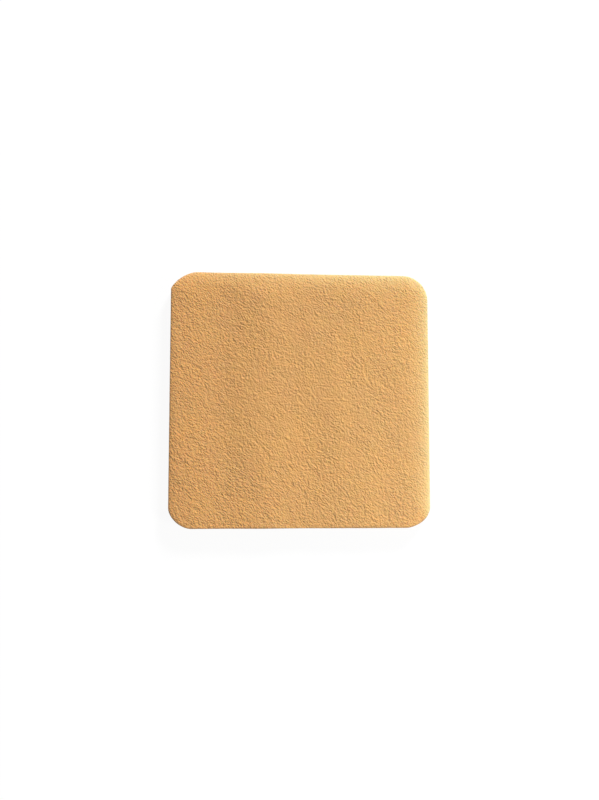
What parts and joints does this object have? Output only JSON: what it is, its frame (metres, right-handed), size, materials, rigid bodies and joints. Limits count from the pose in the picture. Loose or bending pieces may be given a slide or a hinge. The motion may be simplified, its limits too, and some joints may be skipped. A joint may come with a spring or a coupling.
{
  "type": "silicone foam dressing",
  "caption": "Flat, nearly square foam wound dressing with rounded corners: a tan backing film rolled over an absorbent foam pad, and a perforated soft silicone layer on the skin side.",
  "frame": {"origin": "middle of the skin side, on the surface that the dressing lies on", "axes": "+Z out of the backing film, +X to the right and +Y to the far side as the dressing is seen in the picture"},
  "size_m": [0.1, 0.0982, 0.005],
  "materials": {
    "film": "satin tan polyurethane film with fine creases",
    "foam": "matt open-cell polyurethane foam, cream",
    "silicone": "soft, slightly glossy translucent silicone"
  },
  "bodies": {
    "root": {"backing_film": "film", "foam_pad": "foam", "silicone_contact_layer": "silicone"}
  },
  "joints": []
}
